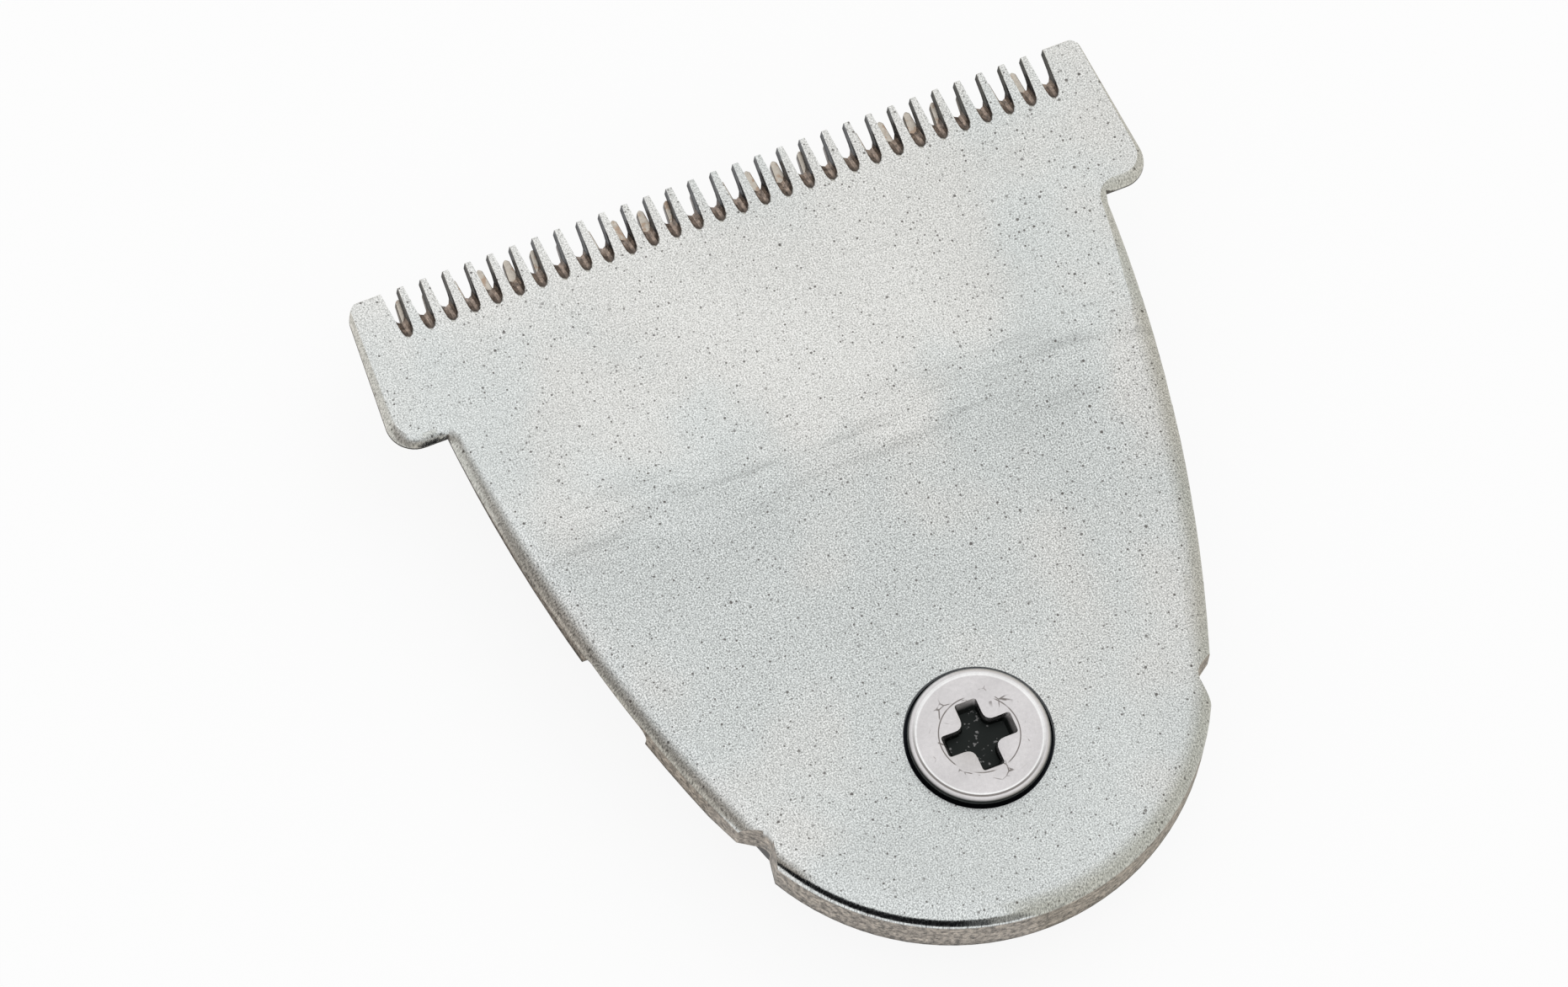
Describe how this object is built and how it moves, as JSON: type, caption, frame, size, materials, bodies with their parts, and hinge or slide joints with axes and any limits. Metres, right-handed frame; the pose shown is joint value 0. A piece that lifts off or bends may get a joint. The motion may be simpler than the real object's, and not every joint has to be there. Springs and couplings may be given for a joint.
{
  "type": "clip-on trimmer blade",
  "caption": "T-shaped clip-on trimmer blade: a pale sintered steel comb plate, a toothed cutter that slides sideways behind it, a moulded base, a wire spring and a cross-recess screw.",
  "frame": {"origin": "middle of the outline, on the plane that the base stands on", "axes": "+X along the tooth row, +Y towards the tooth tips, +Z out of the front face"},
  "size_m": [0.0334, 0.0346, 0.0055],
  "materials": {
    "comb_steel": "satin sintered steel, ground towards the teeth, fine dark pores",
    "cutter_steel": "ground steel",
    "yoke_plastic": "moulded, fine matt grain",
    "base_plastic": "moulded, fine matt grain",
    "spring_wire": "drawn wire",
    "screw_steel": "nickel-plated, a few driver marks"
  },
  "bodies": {
    "comb": {"comb_plate": "comb_steel", "blade_base": "base_plastic", "tension_spring": "spring_wire", "fixing_screw": "screw_steel"},
    "cutter": {"cutter_blade": "cutter_steel", "cutter_yoke": "yoke_plastic"}
  },
  "joints": [
    {"name": "cutter_slide", "type": "slide", "parent": "comb", "child": "cutter", "axis": [1, 0, 0], "range_m": [-0.00078, 0.00162]}
  ]
}
